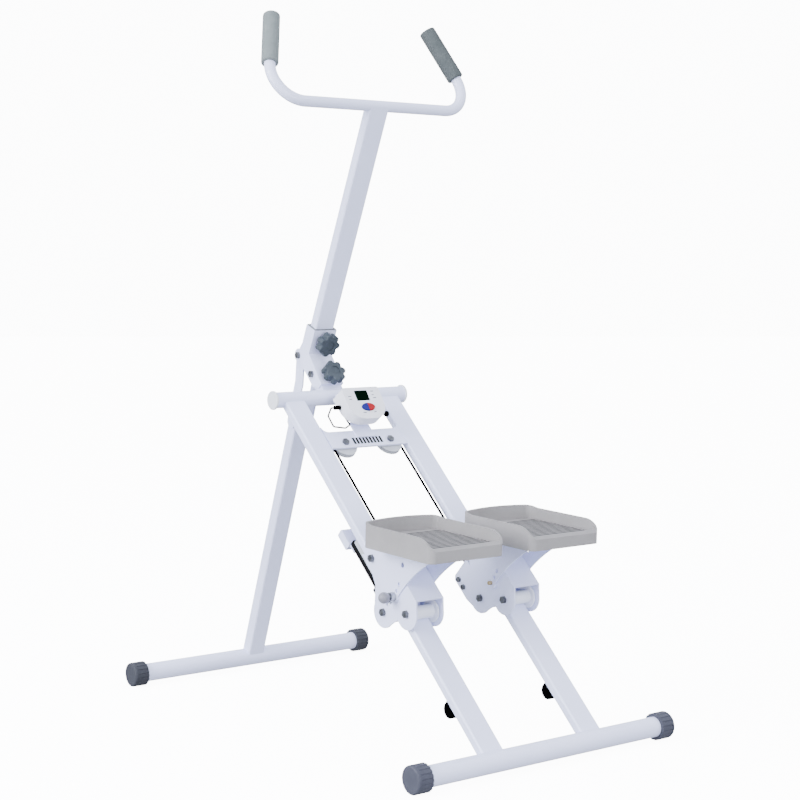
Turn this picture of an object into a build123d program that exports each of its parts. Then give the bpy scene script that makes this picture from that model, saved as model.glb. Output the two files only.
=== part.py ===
from build123d import *
from math import atan2, cos, degrees, hypot, radians, sin
import os

# Folding climbing stepper. +Z is up, X runs across the machine, the user stands on the -Y side.
# The origin is on the floor in the middle of the footprint.

# Driving dimensions, in millimetres and degrees.
FOOT_SPAN = 972.0           # between the axes of the two foot tubes
FOOT_BAR_LENGTH = 610.0     # over the end caps
FOOT_TUBE_D = 38.0
FOOT_CAP_D = 51.0
RAIL_ANGLE = 43.2           # above the floor
RAIL_LENGTH = 872.0         # front foot tube axis to top cross tube axis
RAIL_SPACING = 234.0
RAIL_WIDTH = 48.0
RAIL_DEPTH = 18.0
CROSS_TUBE_D = 32.0
CROSS_TUBE_LENGTH = 326.0   # over the end caps
POST_LEAN = 23.7            # from the vertical, top towards the user
POST_WIDTH = 46.0
POST_DEPTH = 22.0
BAR_TUBE_D = 22.0
GRIP_D = 34.0
PEDAL_WIDTH = 170.0
PEDAL_LENGTH = 200.0
CABLE_D = 5.0

# Wall thicknesses and clearances shared by several pieces.
TUBE_WALL = 1.8
SHEET = 3.0
RUNNING = 0.08              # radial clearance of a pin that turns or slides in its hole
APART = 0.3                 # gap between surfaces of pieces that move past each other
SIDE_GAP = 5.0              # between a rail and the inside of a carriage's side plate

os.makedirs("parts", exist_ok=True)


def save(name, *solids):
    """Write one sub-part; several solids make one group of like pieces."""
    shape = solids[0] if len(solids) == 1 else Compound(children=list(solids))
    export_step(shape, f"parts/{name}.step")


def block(low, high):
    size = [b - a for a, b in zip(low, high)]
    middle = [(a + b) / 2 for a, b in zip(low, high)]
    return Pos(*middle) * Box(*size)


def rod(start, end, radius):
    start, end = Vector(*start), Vector(*end)
    along = end - start
    return Plane(origin=(start + end) / 2, z_dir=along.normalized()) * Cylinder(radius, along.length)


def cross_rod(x0, x1, y, z, radius):
    """A cylinder that runs across the machine, between two X stations."""
    return rod((x0, y, z), (x1, y, z), radius)


def slab(outline, x0, x1):
    """An outline drawn in the side view, given its thickness along X."""
    return extrude(Plane.YZ.offset(min(x0, x1)) * outline, abs(x1 - x0))


def polygon(*points):
    return make_face(Polyline(*points, close=True))


def disc(y, z, radius):
    return Pos(y, z) * Circle(radius)


def lug_between(first, second, radius):
    """A strap with round ends about two points of the side view."""
    return make_hull((disc(*first, radius) + disc(*second, radius)).edges())


def hex_head(x0, x1, y, z, across_flats):
    head = Plane.YZ.offset(min(x0, x1)) * Pos(y, z) * RegularPolygon(across_flats / 2, 6, major_radius=False)
    return extrude(head, abs(x1 - x0))


def offset_point(point, along, across, angle):
    """Move a side-view point along a direction given by its angle above +Y, and square to it."""
    c, s = cos(radians(angle)), sin(radians(angle))
    return point[0] + along * c - across * s, point[1] + along * s + across * c


def turned(y, z, angle):
    """A frame whose local Y runs at the given angle above +Y in the side view and local X stays X."""
    return Plane(origin=(0, y, z), x_dir=(1, 0, 0), z_dir=(0, -sin(radians(angle)), cos(radians(angle))))


# The rails share one slanted frame: local x across, local y up the rail, local z out of its face.
foot_y = FOOT_SPAN / 2
foot_z = FOOT_CAP_D / 2
rail_plane = turned(-foot_y, foot_z, RAIL_ANGLE)
rail_x = RAIL_SPACING / 2
rail_face = RAIL_DEPTH / 2
side_inner = RAIL_WIDTH / 2 + SIDE_GAP
side_outer = side_inner + SHEET
top_y, top_z = offset_point((-foot_y, foot_z), RAIL_LENGTH, 0, RAIL_ANGLE)


def rail_point(t, n):
    """Side-view place of a point t up the rail and n above its middle plane."""
    return offset_point((-foot_y, foot_z), t, n, RAIL_ANGLE)


def on_rail(shape):
    return rail_plane * shape


# Foot bars: a round tube across the machine with a fluted plastic cap pressed over each end.
CAP_LENGTH = 32.0
CAP_END = 4.0
CAP_FLUTES = 18
CAP_FLUTE_R = 1.8
CAP_FLUTE_OUT = 0.5             # flute centres, outside the cap's surface
CAP_SMOOTH_END = 7.0


def foot_tube(y):
    half = FOOT_BAR_LENGTH / 2 - CAP_END
    outside = cross_rod(-half, half, y, foot_z, FOOT_TUBE_D / 2)
    return outside - cross_rod(-half, half, y, foot_z, FOOT_TUBE_D / 2 - TUBE_WALL)


def foot_cap(y, side):
    outer = FOOT_BAR_LENGTH / 2
    inner = outer - CAP_LENGTH
    radius = FOOT_CAP_D / 2
    body = cross_rod(side * inner, side * outer, y, foot_z, radius)
    end_rim = body.edges().filter_by(GeomType.CIRCLE).sort_by(Axis.X)[-1 if side > 0 else 0]
    body = fillet(end_rim, 4)
    for flute in range(CAP_FLUTES):
        flute_y, flute_z = offset_point((y, foot_z), radius + CAP_FLUTE_OUT, 0, 360 / CAP_FLUTES * (flute + 0.5))
        body -= cross_rod(side * (inner - 1), side * (outer - CAP_SMOOTH_END), flute_y, flute_z, CAP_FLUTE_R)
    return body - cross_rod(side * (inner - 1), side * (outer - CAP_END), y, foot_z, FOOT_TUBE_D / 2)


save("front_foot_tube", foot_tube(-foot_y))
save("front_foot_caps", foot_cap(-foot_y, -1), foot_cap(-foot_y, 1))
save("rear_foot_tube", foot_tube(foot_y))
save("rear_foot_caps", foot_cap(foot_y, -1), foot_cap(foot_y, 1))

# Rails: rectangular tubes, coped over the front foot tube below and the cross tube above.
RAIL_CORNER = 4.0


def rail(side):
    section = RectangleRounded(RAIL_WIDTH, RAIL_DEPTH, RAIL_CORNER)
    bore = RectangleRounded(RAIL_WIDTH - 2 * TUBE_WALL, RAIL_DEPTH - 2 * TUBE_WALL, RAIL_CORNER - TUBE_WALL)
    end_plane = Plane(origin=(side * rail_x, 0, 0), x_dir=(1, 0, 0), z_dir=(0, 1, 0))
    bar = on_rail(extrude(end_plane * (section - bore), RAIL_LENGTH))
    bar -= cross_rod(-FOOT_SPAN, FOOT_SPAN, -foot_y, foot_z, FOOT_TUBE_D / 2)
    return bar - cross_rod(-FOOT_SPAN, FOOT_SPAN, top_y, top_z, CROSS_TUBE_D / 2)


def largest(shape):
    return shape.solids().sort_by(SortBy.VOLUME)[-1]


save("left_rail", largest(rail(-1)))
save("right_rail", largest(rail(1)))

# Top cross tube with a flanged plug in each end.
PLUG_FLANGE_D = 38.0
PLUG_FLANGE = 4.0
PLUG_SPIGOT = 12.0
tube_half = CROSS_TUBE_LENGTH / 2 - PLUG_FLANGE
cross_bore_d = CROSS_TUBE_D - 2 * TUBE_WALL
cross_tube = cross_rod(-tube_half, tube_half, top_y, top_z, CROSS_TUBE_D / 2)
cross_tube -= cross_rod(-tube_half, tube_half, top_y, top_z, cross_bore_d / 2)
save("top_cross_tube", cross_tube)


def cross_tube_plug(side):
    flange = cross_rod(side * tube_half, side * (tube_half + PLUG_FLANGE), top_y, top_z, PLUG_FLANGE_D / 2)
    rim = flange.edges().filter_by(GeomType.CIRCLE).sort_by(Axis.X)[-1 if side > 0 else 0]
    flange = fillet(rim, 1.5)
    return flange + cross_rod(side * (tube_half - PLUG_SPIGOT), side * tube_half, top_y, top_z, cross_bore_d / 2)


save("cross_tube_caps", cross_tube_plug(-1), cross_tube_plug(1))

# Cross plate: welded between the rails, with a rounded gusset in each upper corner.
PLATE_LOW, PLATE_HIGH = RAIL_LENGTH - 143, RAIL_LENGTH - 100    # up the rail
PLATE_THICKNESS = 4.0
GUSSET = 14.0
PULLEY_T = RAIL_LENGTH - 130
PULLEY_BOLT_D = 8.0
PULLEY_GROOVE_R = 23.5
PULLEY_RIM_R = 28.0
PULLEY_WIDTH = 9.0
PULLEY_HEADROOM = 1.5       # between a pulley and the plate above it
CABLE_OFF_PLATE = 3.5       # from a carriage's inner plate to the middle of the cable
cable_n = rail_face - PLATE_THICKNESS - PULLEY_HEADROOM - PULLEY_WIDTH / 2
cable_x = rail_x - side_outer - CABLE_OFF_PLATE
pulley_x = cable_x - PULLEY_GROOVE_R - CABLE_D / 2
plate_half = rail_x - RAIL_WIDTH / 2
plate_outline = Pos(0, (PLATE_LOW + PLATE_HIGH) / 2) * Rectangle(2 * plate_half, PLATE_HIGH - PLATE_LOW)
for side in (-1, 1):
    corner = Pos(side * (plate_half - GUSSET / 2), PLATE_HIGH + GUSSET / 2) * Rectangle(GUSSET, GUSSET)
    plate_outline += corner - Pos(side * (plate_half - GUSSET), PLATE_HIGH + GUSSET) * Circle(GUSSET)
    plate_outline -= Pos(side * pulley_x, PULLEY_T) * Circle(PULLEY_BOLT_D / 2)
cross_plate = on_rail(Pos(0, 0, rail_face - PLATE_THICKNESS) * extrude(plate_outline, PLATE_THICKNESS))
save("cross_plate", cross_plate)

# Cable pulleys under the plate, each turning on its own bolt.
pulley_top = cable_n + PULLEY_WIDTH / 2
pulley_low = cable_n - PULLEY_WIDTH / 2
PULLEY_NUT = 6.0
PULLEY_HEAD = 5.0


def pulley_bolt(x):
    place = Pos(x, PULLEY_T)
    head_plane = Plane.XY.offset(rail_face) * place
    head = extrude(head_plane * RegularPolygon(6.5, 6, major_radius=False), PULLEY_HEAD)
    nut_plane = Plane.XY.offset(pulley_low - APART - PULLEY_NUT) * place
    nut = extrude(nut_plane * RegularPolygon(6.5, 6, major_radius=False), PULLEY_NUT)
    shank = extrude(Plane.XY.offset(pulley_low - APART) * place * Circle(PULLEY_BOLT_D / 2),
                    rail_face - pulley_low + APART)
    return on_rail(head + nut + shank)


def pulley(x):
    wheel = Pos(x, PULLEY_T, cable_n) * Cylinder(PULLEY_RIM_R, PULLEY_WIDTH)
    groove = Pos(x, PULLEY_T, cable_n) * Torus(PULLEY_GROOVE_R + CABLE_D / 2, CABLE_D / 2 + APART)
    throat = Cylinder(PULLEY_RIM_R + 1, CABLE_D + 2 * APART)
    throat -= Cylinder(PULLEY_GROOVE_R + CABLE_D / 2, CABLE_D + 2 * APART)
    throat = Pos(x, PULLEY_T, cable_n) * throat
    bore = Pos(x, PULLEY_T, cable_n) * Cylinder(PULLEY_BOLT_D / 2 + RUNNING, PULLEY_WIDTH)
    return on_rail(wheel - groove - throat - bore)


save("pulley_bolts", pulley_bolt(-pulley_x), pulley_bolt(pulley_x))
save("left_pulley", pulley(-pulley_x))
save("right_pulley", pulley(pulley_x))

# Drive cable: over both pulleys, then down beside each rail to a clamp on each carriage.
CLAMP_LOW, CLAMP_HIGH = 466.0, 484.0
cable_wire = Circle(CABLE_D / 2)


def cable_run(side):
    start, end = CLAMP_LOW + 4, PULLEY_T
    return on_rail(rod((side * cable_x, start, cable_n), (side * cable_x, end, cable_n), CABLE_D / 2))


bridge_radius = PULLEY_GROOVE_R + CABLE_D / 2
bridge_path = Polyline((-pulley_x, PULLEY_T + bridge_radius), (pulley_x, PULLEY_T + bridge_radius))
left_wrap = CenterArc((-pulley_x, PULLEY_T), bridge_radius, 90, 90)
right_wrap = CenterArc((pulley_x, PULLEY_T), bridge_radius, 0, 90)
bridge = sweep(Plane(origin=(-pulley_x, PULLEY_T + bridge_radius, 0), z_dir=(1, 0, 0)) * cable_wire, bridge_path)
wrap_left = sweep(Plane(origin=(-cable_x, PULLEY_T, 0), z_dir=(0, 1, 0)) * cable_wire, left_wrap)
wrap_right = sweep(Plane(origin=(cable_x, PULLEY_T, 0), z_dir=(0, 1, 0)) * cable_wire, right_wrap)
save("cable_bridge", on_rail(Pos(0, 0, cable_n) * (bridge + wrap_left + wrap_right)))
save("left_cable", cable_run(-1))
save("right_cable", cable_run(1))

# Lower stops: a D-shaped rubber block across the underside of each rail.
STOP_T = 125.0
STOP_R = 15.5
STOP_DEPTH = 22.0
STOP_WIDTH = RAIL_WIDTH - 4


def lower_stop(side):
    x0, x1 = side * rail_x - STOP_WIDTH / 2, side * rail_x + STOP_WIDTH / 2
    straight = block((x0, STOP_T - STOP_R, -rail_face - STOP_DEPTH + STOP_R),
                     (x1, STOP_T + STOP_R, -rail_face))
    stop = straight + cross_rod(x0, x1, STOP_T, -rail_face - STOP_DEPTH + STOP_R, STOP_R)
    return on_rail(stop - block((x0 - 1, STOP_T - 40, -rail_face), (x1 + 1, STOP_T + 40, rail_face)))


save("lower_stops", lower_stop(-1), lower_stop(1))

# Upright bracket: two cheeks and a front web, bent between the post sleeve and the lower channel.
post_angle = 90 + POST_LEAN
POST_BASE = (top_y + 56.44, top_z + 150.08)     # a point on the post's axis, in the side view
COLLAR_S = -9.7                 # collar of the sleeve, along the post from that point
CHANNEL_ANGLE = 54.0
LEG_BOLT = (top_y + 106.34, top_z + 82.58)
FRAME_BOLT = (top_y + 57.34, top_z + 45.58)
BUSH_WALL = 1.5
POST_GAP = 0.3
cheek_inner = POST_WIDTH / 2 + POST_GAP + BUSH_WALL
cheek_outer = cheek_inner + SHEET
sleeve_inner = POST_DEPTH / 2 + POST_GAP + BUSH_WALL
sleeve_outer = sleeve_inner + SHEET


def on_post(along, front):
    """Side-view place: along the post from its base point, and in front of its axis."""
    return offset_point(POST_BASE, along, front, post_angle)


def on_channel(along, front):
    """Side-view place: along the lower channel from the frame bolt, and in front of it."""
    return offset_point(FRAME_BOLT, along, front, CHANNEL_ANGLE)


CHANNEL_FRONT = 16.5
CHANNEL_LOW = -36.0
CHANNEL_BEND = 40.0
web_top = on_post(COLLAR_S, sleeve_outer)
web_bend = on_channel(CHANNEL_BEND, CHANNEL_FRONT)
web_low = on_channel(CHANNEL_LOW, CHANNEL_FRONT)
cheek = polygon(web_top, web_bend, web_low, on_channel(CHANNEL_LOW - 1, 4), on_channel(-24, -13),
                on_channel(4, -16), (LEG_BOLT[0] - 4, LEG_BOLT[1] - 14), (LEG_BOLT[0] - 4, LEG_BOLT[1] + 14),
                on_post(-52, -sleeve_outer), on_post(COLLAR_S, -sleeve_outer))
cheek += disc(*LEG_BOLT, 14)
inner_top = on_post(COLLAR_S + 40, sleeve_inner)
inner_bend = on_channel(CHANNEL_BEND - 0.5, CHANNEL_FRONT - SHEET)
inner_low = on_channel(CHANNEL_LOW - 40, CHANNEL_FRONT - SHEET)
hollow = polygon(inner_top, on_post(-52, sleeve_inner), inner_bend, inner_low,
                 (FRAME_BOLT[0] + 140, FRAME_BOLT[1] - 80), (LEG_BOLT[0] + 90, LEG_BOLT[1] + 140))
upright = slab(cheek, -cheek_outer, cheek_outer) - slab(hollow, -cheek_inner, cheek_inner)
rear_strap = polygon(on_post(COLLAR_S, -sleeve_inner), on_post(COLLAR_S, -sleeve_outer),
                     on_post(-52, -sleeve_outer), on_post(-52, -sleeve_inner))
upright += slab(rear_strap, -cheek_outer, cheek_outer)

BOLT_D = 8.0
HEAD_FLATS = 13.0
HEAD = 5.0
for place in (LEG_BOLT, FRAME_BOLT):
    upright -= cross_rod(-cheek_outer, cheek_outer, *place, BOLT_D / 2)

KNOB_STUD_D = 8.0
POST_KNOB_S = -33.0
FOLD_KNOB_S = -20.0
post_knob_hole = rod((0, *on_post(POST_KNOB_S, sleeve_inner - 1)), (0, *on_post(POST_KNOB_S, sleeve_outer + 1)),
                     KNOB_STUD_D / 2 + RUNNING)
fold_knob_hole = rod((0, *on_channel(FOLD_KNOB_S, 4)), (0, *on_channel(FOLD_KNOB_S, CHANNEL_FRONT + 1)),
                     KNOB_STUD_D / 2 + RUNNING)
upright -= post_knob_hole + fold_knob_hole
save("upright_bracket", largest(upright))


def through_bolt(place, half, shank_d=BOLT_D):
    """A hex bolt across the machine, with its nut, gripping over the half width given."""
    body = cross_rod(-half, half, *place, shank_d / 2)
    body += hex_head(-half - HEAD, -half, *place, HEAD_FLATS)
    return body + hex_head(half, half + HEAD, *place, HEAD_FLATS)


save("hinge_bolts", through_bolt(LEG_BOLT, cheek_outer), through_bolt(FRAME_BOLT, cheek_outer))

# Plastic bush that lines the sleeve, with a thin lip over its mouth.
post_plane = Plane(origin=(0, *POST_BASE), x_dir=(1, 0, 0),
                   z_dir=(0, cos(radians(post_angle)), sin(radians(post_angle))))
SLEEVE_LENGTH = 42.0
BUSH_LIP = 1.6
bush_section = Rectangle(2 * cheek_inner, 2 * sleeve_inner) - Rectangle(POST_WIDTH + 2 * POST_GAP,
                                                                       POST_DEPTH + 2 * POST_GAP)
lip_section = Rectangle(2 * cheek_outer - 2, 2 * sleeve_outer - 2) - Rectangle(POST_WIDTH + 2 * POST_GAP,
                                                                              POST_DEPTH + 2 * POST_GAP)
bush = extrude(Plane.XY.offset(COLLAR_S - SLEEVE_LENGTH) * bush_section, SLEEVE_LENGTH)
bush += extrude(Plane.XY.offset(COLLAR_S) * lip_section, BUSH_LIP)
bush = post_plane * bush - post_knob_hole - rod((0, *on_post(POST_KNOB_S, 0)), (0, *on_post(POST_KNOB_S, 40)),
                                                KNOB_STUD_D / 2 + RUNNING)
save("post_bush", bush)

# Neck: a short channel welded to the cross tube, inside the lower end of the upright.
NECK_HALF_DEPTH = 12.0
neck_half = cheek_inner - APART
NECK_LOW = -75.0
neck_outline = polygon(FRAME_BOLT, on_channel(0, NECK_HALF_DEPTH), on_channel(NECK_LOW, NECK_HALF_DEPTH),
                       on_channel(NECK_LOW, -NECK_HALF_DEPTH), on_channel(0, -NECK_HALF_DEPTH))
neck_outline += disc(*FRAME_BOLT, NECK_HALF_DEPTH)
neck_hollow = polygon(on_channel(40, -NECK_HALF_DEPTH - 1), on_channel(40, NECK_HALF_DEPTH - SHEET),
                      on_channel(NECK_LOW - 1, NECK_HALF_DEPTH - SHEET), on_channel(NECK_LOW - 1, -NECK_HALF_DEPTH - 1))
neck = slab(neck_outline, -neck_half, neck_half)
neck -= slab(neck_hollow, -neck_half + SHEET, neck_half - SHEET)
neck -= cross_rod(-neck_half, neck_half, *FRAME_BOLT, BOLT_D / 2 + RUNNING)
neck -= cross_rod(-FOOT_SPAN, FOOT_SPAN, top_y, top_z, CROSS_TUBE_D / 2)
beyond_tube = slab(polygon((top_y, top_z - 60), (top_y, top_z), (top_y + 80, top_z - 10), (top_y + 80, top_z - 60)),
                   -60, 60)
save("neck_bracket", largest(neck - beyond_tube))

# Star knobs: seven blunt lobes on a hub, with a steel stud through the web.
KNOB_LOBES = 7
KNOB_R = 25.0
KNOB_LOBE_R = 7.0
KNOB_VALLEY_R = 20.0
KNOB_THICKNESS = 18.0
KNOB_HUB_R = 11.0
KNOB_HUB = 9.0


def star_knob(plane, seat, stud_end):
    """A knob on a plane whose local Z leaves the web; seat and stud end are heights above the plane."""
    star = Circle(KNOB_VALLEY_R)
    for lobe in range(KNOB_LOBES):
        turn = 360 / KNOB_LOBES * lobe
        star += Rot(0, 0, turn) * Pos(KNOB_R - KNOB_LOBE_R, 0) * Circle(KNOB_LOBE_R)
    star = fillet(star.vertices(), 2)
    head = extrude(Plane.XY.offset(seat + KNOB_HUB) * star, KNOB_THICKNESS)
    head = fillet(head.edges().group_by(Axis.Z)[-1], 2.5)
    dish = Pos(0, 0, seat + KNOB_HUB + KNOB_THICKNESS) * Cylinder(10, 3)
    hub = Pos(0, 0, seat + KNOB_HUB / 2) * Cylinder(KNOB_HUB_R, KNOB_HUB)
    stud = Pos(0, 0, (seat + stud_end) / 2) * Cylinder(KNOB_STUD_D / 2, seat - stud_end)
    return plane * (head + hub + stud - dish)


post_front = Plane(origin=(0, *on_post(POST_KNOB_S, 0)), x_dir=(1, 0, 0),
                   z_dir=(0, -sin(radians(post_angle)), cos(radians(post_angle))))
channel_front = Plane(origin=(0, *on_channel(FOLD_KNOB_S, 0)), x_dir=(1, 0, 0),
                      z_dir=(0, -sin(radians(CHANNEL_ANGLE)), cos(radians(CHANNEL_ANGLE))))
save("post_knob", star_knob(post_front, sleeve_outer + APART, POST_DEPTH / 2 + APART))
save("fold_knob", star_knob(channel_front, CHANNEL_FRONT + APART, NECK_HALF_DEPTH + APART))

# Rear leg: a rectangular tube, coped over the rear foot tube, hung from two flat ears.
LEG_WIDTH = POST_WIDTH - 6
LEG_DEPTH = 28.0
LEG_LINE = (LEG_BOLT[0] - 15, LEG_BOLT[1])      # the leg's axis runs from here to the rear foot's axis
LEG_TUBE_START = 106.0
leg_run = (foot_y - LEG_LINE[0], foot_z - LEG_LINE[1])
leg_length = hypot(*leg_run)
leg_angle = degrees(atan2(leg_run[1], leg_run[0]))
leg_plane = turned(*LEG_LINE, leg_angle)


def on_leg(along, rear):
    return offset_point(LEG_LINE, along, rear, leg_angle)


leg_section = RectangleRounded(LEG_WIDTH, LEG_DEPTH, 4)
leg_bore = RectangleRounded(LEG_WIDTH - 2 * TUBE_WALL, LEG_DEPTH - 2 * TUBE_WALL, 4 - TUBE_WALL)
leg_start = Plane(origin=(0, LEG_TUBE_START, 0), x_dir=(1, 0, 0), z_dir=(0, 1, 0))
leg = leg_plane * extrude(leg_start * (leg_section - leg_bore), leg_length - LEG_TUBE_START)
leg -= cross_rod(-FOOT_SPAN, FOOT_SPAN, foot_y, foot_z, FOOT_TUBE_D / 2)
save("rear_leg", largest(leg))

EAR = 3.0
EAR_KNEE = 62.0
EAR_END = 150.0
ear_outline = lug_between(LEG_BOLT, on_leg(EAR_KNEE, 0), LEG_DEPTH / 2)
ear_outline += lug_between(on_leg(EAR_KNEE, 0), on_leg(EAR_END, 0), LEG_DEPTH / 2)
ears = []
for side in (-1, 1):
    ear = slab(ear_outline, side * LEG_WIDTH / 2, side * (LEG_WIDTH / 2 + EAR))
    ears.append(ear - cross_rod(-LEG_WIDTH, LEG_WIDTH, *LEG_BOLT, BOLT_D / 2 + RUNNING))
save("leg_ears", *ears)

# Handlebar: post with the bar across its top; the bar's ends sweep up, back and inwards.
BAR_S = 470.0
POST_LOW = -62.0
BAR_LIFT = 63.3                 # slope of the handlebar's own plane above +Y
BAR_CORNER_X = 253.5
BAR_BEND_R = 60.0
GRIP_TOP = (191.5, 185.8)       # end of the grip: across, and up the handlebar's plane
GRIP_LENGTH = 113.0
BAR_WALL = 1.6
bar_y, bar_z = on_post(BAR_S, 0)
post_section = RectangleRounded(POST_WIDTH, POST_DEPTH, 3.5)
post_bore = RectangleRounded(POST_WIDTH - 2 * TUBE_WALL, POST_DEPTH - 2 * TUBE_WALL, 3.5 - TUBE_WALL)
post = post_plane * extrude(Plane.XY.offset(POST_LOW) * (post_section - post_bore), BAR_S - POST_LOW)
post -= cross_rod(-BAR_CORNER_X, BAR_CORNER_X, bar_y, bar_z, BAR_TUBE_D / 2)
save("handlebar_post", largest(post))

bar_plane = turned(bar_y, bar_z, BAR_LIFT)
bar_path = FilletPolyline((-GRIP_TOP[0], GRIP_TOP[1]), (-BAR_CORNER_X, 0), (BAR_CORNER_X, 0),
                          (GRIP_TOP[0], GRIP_TOP[1]), radius=BAR_BEND_R)
bar_start = Plane(origin=bar_path @ 0, z_dir=bar_path % 0)
bar_ring = Circle(BAR_TUBE_D / 2) - Circle(BAR_TUBE_D / 2 - BAR_WALL)
save("handlebar_tube", bar_plane * sweep(bar_start * bar_ring, bar_path))

GRIP_END = 4.0
grip_run = (BAR_CORNER_X - GRIP_TOP[0], -GRIP_TOP[1])
grip_unit = (grip_run[0] / hypot(*grip_run), grip_run[1] / hypot(*grip_run))
grips = []
for side in (-1, 1):
    tip = (side * (GRIP_TOP[0] - grip_unit[0] * GRIP_END), GRIP_TOP[1] - grip_unit[1] * GRIP_END, 0)
    tube_end = (side * GRIP_TOP[0], GRIP_TOP[1], 0)
    foot = (tube_end[0] + side * grip_unit[0] * GRIP_LENGTH, tube_end[1] + grip_unit[1] * GRIP_LENGTH, 0)
    grip = rod(foot, tip, GRIP_D / 2) - rod(foot, tube_end, BAR_TUBE_D / 2)
    grips.append(bar_plane * grip)
save("handlebar_grips", *grips)

# Carriages: a folded steel channel round each rail, on rollers, with a friction pad beneath.
WEB_FACE = 62.0
WEB_LOW, WEB_HIGH = 312.0, 394.0
FRONT_ROLLER = (314.0, 22.0)
REAR_ROLLER = (360.0, -31.0)
PEDAL_PIVOT = (449.0, 19.0)
PIN_PLACE = (358.0, 19.0)
LOBE_R = 30.0
PIVOT_LUG_R = 26.0
PIN_D = 8.0
BRACE_BOLTS = ((426.0, -56.0), (407.0, -56.0))
BRACE_BOLT_D = 6.0
BRACE_BOLT_END = 8.0            # from the rail's middle
BRACE_HEAD = 4.0
BRACE_HEAD_FLATS = 10.0
AXLE_HEAD = 5.5


def side_outline(with_brace):
    """Side view of a carriage plate, in the rail's own frame."""
    outline = polygon((296, 46), (WEB_LOW, WEB_FACE), (WEB_HIGH, WEB_FACE), (456.3, 44), (470, 4), (478, -5),
                      (434, -5), (410, -14), (388, -42), (330, -32), (323, -8), (300, 0))
    outline += disc(*FRONT_ROLLER, LOBE_R) + disc(*REAR_ROLLER, LOBE_R) + disc(*PEDAL_PIVOT, PIVOT_LUG_R)
    if with_brace:
        brace = polygon((342, -55), (385, -67), (434, -67), (440, -60), (440, -10), (360, -10))
        outline += brace
        for place in BRACE_BOLTS:
            outline -= disc(*place, BRACE_BOLT_D / 2)
    for place in (FRONT_ROLLER, REAR_ROLLER, PEDAL_PIVOT):
        outline -= disc(*place, BOLT_D / 2)
    return outline


# The pedal's tilt is set by a pin that runs in an arc slot of the outer plate.
HOLE_R = PEDAL_PIVOT[0] - PIN_PLACE[0]
HOLE_STEP = 9.4                 # degrees between the tilt holes
PEDAL_SWING = 2 * HOLE_STEP


def pin_slot():
    half = PIN_D / 2 + APART
    ring = disc(*PEDAL_PIVOT, HOLE_R + half) - disc(*PEDAL_PIVOT, HOLE_R - half)
    reach = 2 * HOLE_R
    far = (PEDAL_PIVOT[0] - reach * cos(radians(PEDAL_SWING)), PEDAL_PIVOT[1] - reach * sin(radians(PEDAL_SWING)))
    sector = polygon(PEDAL_PIVOT, (PEDAL_PIVOT[0] - reach, PEDAL_PIVOT[1]), far)
    end = (PEDAL_PIVOT[0] + (far[0] - PEDAL_PIVOT[0]) / 2, PEDAL_PIVOT[1] + (far[1] - PEDAL_PIVOT[1]) / 2)
    return (ring & sector) + disc(*PIN_PLACE, half) + disc(*end, half)


def carriage(side):
    """side is -1 on the left rail and 1 on the right; its outer plate is away from the middle."""
    x = side * rail_x
    outer = slab(side_outline(False) - pin_slot(), x + side * side_inner, x + side * side_outer)
    inner = slab(side_outline(True), x - side * side_inner, x - side * side_outer)
    web = block((x - side_outer, WEB_LOW, WEB_FACE - SHEET), (x + side_outer, WEB_HIGH, WEB_FACE))
    return on_rail(outer + inner + web)


def axle(x, place, half, shank_d=BOLT_D):
    body = cross_rod(x - half, x + half, *place, shank_d / 2)
    body += hex_head(x - half - AXLE_HEAD, x - half, *place, HEAD_FLATS)
    return body + hex_head(x + half, x + half + AXLE_HEAD, *place, HEAD_FLATS)


def brace_bolt(side, place):
    """A short bolt through the inner plate into the foot of the friction unit."""
    x = side * rail_x
    body = cross_rod(x - side * side_outer, x - side * BRACE_BOLT_END, *place, BRACE_BOLT_D / 2)
    return body + hex_head(x - side * side_outer, x - side * (side_outer + BRACE_HEAD), *place, BRACE_HEAD_FLATS)


# Rollers: the front one is flanged and rides on the rail's face, the rear one is plain.
ROLLER_HALF = side_inner - 1
FLANGE_R = 22.0
front_core = FRONT_ROLLER[1] - rail_face - APART
rear_core = -REAR_ROLLER[1] - rail_face - APART
FLANGE_THICKNESS = ROLLER_HALF - RAIL_WIDTH / 2 - APART


def front_roller(x):
    half = RAIL_WIDTH / 2 + APART
    body = cross_rod(x - ROLLER_HALF, x + ROLLER_HALF, *FRONT_ROLLER, front_core)
    for side in (-1, 1):
        flange = cross_rod(x + side * half, x + side * ROLLER_HALF, *FRONT_ROLLER, FLANGE_R)
        body += chamfer(flange.edges().filter_by(GeomType.CIRCLE), 1)
    return on_rail(body - cross_rod(x - ROLLER_HALF, x + ROLLER_HALF, *FRONT_ROLLER, BOLT_D / 2 + RUNNING))


def rear_roller(x):
    body = cross_rod(x - ROLLER_HALF, x + ROLLER_HALF, *REAR_ROLLER, rear_core)
    body = chamfer(body.edges().filter_by(GeomType.CIRCLE), 1.5)
    return on_rail(body - cross_rod(x - ROLLER_HALF, x + ROLLER_HALF, *REAR_ROLLER, BOLT_D / 2 + RUNNING))


# Friction unit: a bar below the rail carries a nylon pad and ends in a small steel box.
BAR_TOP_N, BAR_LOW_N = -19.0, -31.0
BAR_LOW_T, BAR_HIGH_T = 400.0, 522.0
BRAKE_HALF = RAIL_WIDTH / 2 - 2
PAD_LOW_T, PAD_HIGH_T = 440.0, 516.0
BOX_HIGH_T = 560.0
BOX_LOW_N = -49.0
HANGER_N = -64.0


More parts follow.
